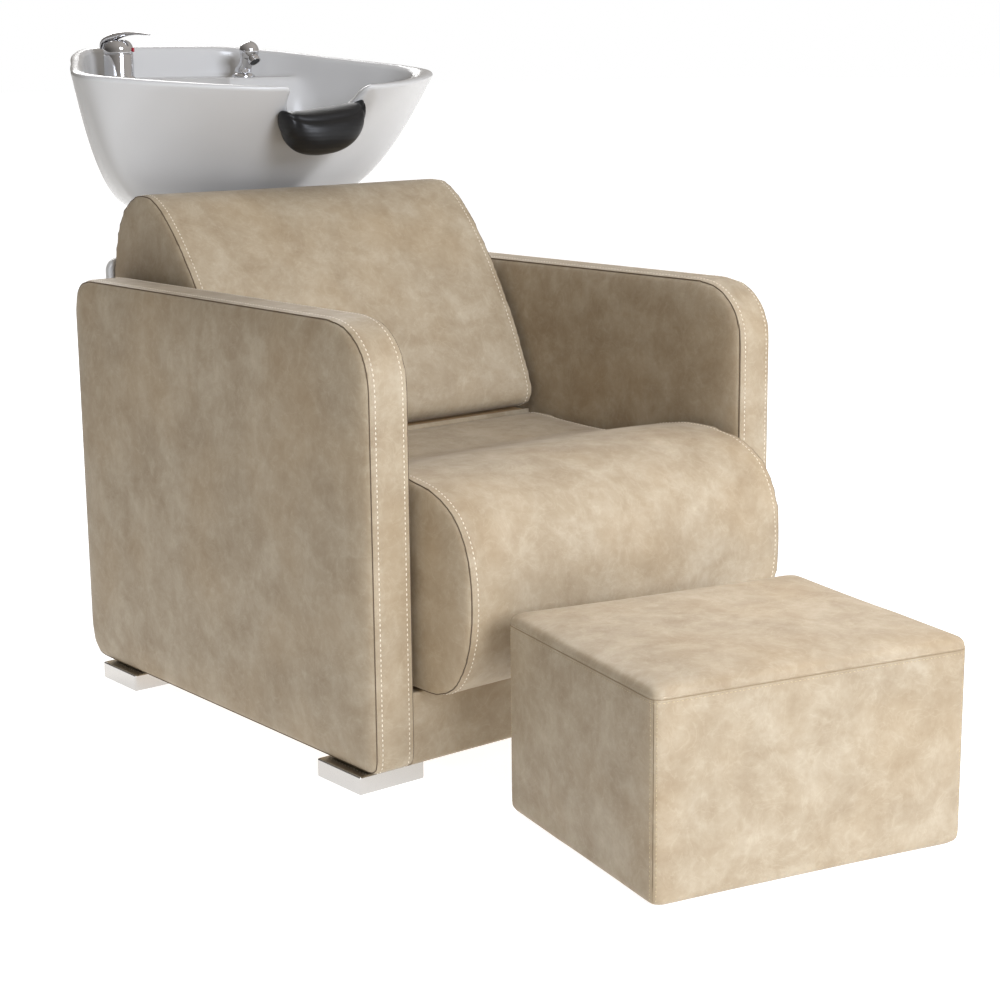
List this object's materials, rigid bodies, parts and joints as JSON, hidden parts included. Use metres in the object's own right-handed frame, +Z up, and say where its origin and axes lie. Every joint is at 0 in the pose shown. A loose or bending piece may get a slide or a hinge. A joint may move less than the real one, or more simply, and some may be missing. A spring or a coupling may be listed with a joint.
{
  "type": "shampoo backwash unit",
  "caption": "Upholstered salon backwash chair with square arms, a rolled seat, a tilting white ceramic basin with mixer, hand spray and neck rest, and a loose footstool.",
  "frame": {"origin": "centre of the underside of the whole unit's box, on the floor", "axes": "+Z up, +Y from the footstool towards the basin, so a sitter faces -Y; +X to the right seen from the front"},
  "size_m": [0.7, 1.6318, 0.9459],
  "materials": {
    "upholstery": "satin mottled beige",
    "plywood": "sanded",
    "foot_chrome": "polished",
    "cover_plastic": "fine moulded grain",
    "frame_steel": "powder coated",
    "plain_steel": "satin",
    "glazed_basin": "gloss white glaze",
    "gel_rubber": "soft satin",
    "black_plastic": "matt",
    "red_plastic": "gloss",
    "tap_chrome": "mirror polished"
  },
  "bodies": {
    "chair": {"arm_cover_left": "upholstery", "arm_cover_right": "upholstery", "arm_board_left": "plywood", "arm_board_right": "plywood", "foot_front_left": "foot_chrome", "foot_front_right": "foot_chrome", "foot_rear_left": "foot_chrome", "foot_rear_right": "foot_chrome", "seat_cushion": "upholstery", "seat_board": "plywood", "front_apron": "upholstery", "base_rail_left": "plywood", "base_rail_right": "plywood", "backrest_cushion": "upholstery", "backrest_shelf": "plywood", "backrest_gusset_left": "plywood", "backrest_gusset_right": "plywood", "rear_board": "plywood", "rear_cover": "cover_plastic", "column_base_plate": "frame_steel", "column_post": "frame_steel", "column_bracket": "frame_steel", "column_shroud": "cover_plastic", "tilt_yoke": "frame_steel", "tilt_pin": "plain_steel"},
    "basin": {"basin": "glazed_basin", "neck_rest": "gel_rubber", "basin_cradle": "frame_steel", "waste_flange": "tap_chrome", "waste_nut": "black_plastic", "waste_trap": "cover_plastic", "mixer_body": "tap_chrome", "mixer_nut": "plain_steel", "hot_inlet_tail": "plain_steel", "cold_inlet_tail": "plain_steel", "spray_holder": "tap_chrome", "spray_holder_nut": "plain_steel"},
    "mixer_cartridge": {"mixer_cap": "tap_chrome", "temperature_dot": "red_plastic"},
    "mixer_lever": {"mixer_lever": "tap_chrome"},
    "hand_spray": {"spray_handle": "tap_chrome", "spray_head": "tap_chrome", "spray_nozzle": "black_plastic"},
    "strainer": {"hair_strainer": "tap_chrome"},
    "footstool": {"footstool_cover": "upholstery", "footstool_frame": "plywood", "footstool_board": "plywood", "glide_front_left": "black_plastic", "glide_front_right": "black_plastic", "glide_rear_left": "black_plastic", "glide_rear_right": "black_plastic"}
  },
  "joints": [
    {"name": "basin_tilt", "type": "hinge", "parent": "chair", "child": "basin", "pos_m": [0, 0.63093, 0.648], "axis": [-1, 0, 0], "range_deg": [0, 15]},
    {"name": "mixer_swing", "type": "hinge", "parent": "basin", "child": "mixer_cartridge", "pos_m": [-0.115, 0.73093, 0.913], "axis": [0, 0, 1], "range_deg": [-50, 50]},
    {"name": "mixer_lift", "type": "hinge", "parent": "mixer_cartridge", "child": "mixer_lever", "pos_m": [-0.1348, 0.75073, 0.919], "axis": [-0.7071, -0.7071, 0], "range_deg": [0, 22]},
    {"name": "spray_pull", "type": "slide", "parent": "basin", "child": "hand_spray", "axis": [0, 0, 1], "range_m": [0, 0.3]},
    {"name": "strainer_lift", "type": "slide", "parent": "basin", "child": "strainer", "axis": [0, 0, 1], "range_m": [0, 0.12]},
    {"name": "footstool_slide", "type": "slide", "parent": "chair", "child": "footstool", "axis": [0, -1, 0], "range_m": [0, 0.3]}
  ]
}
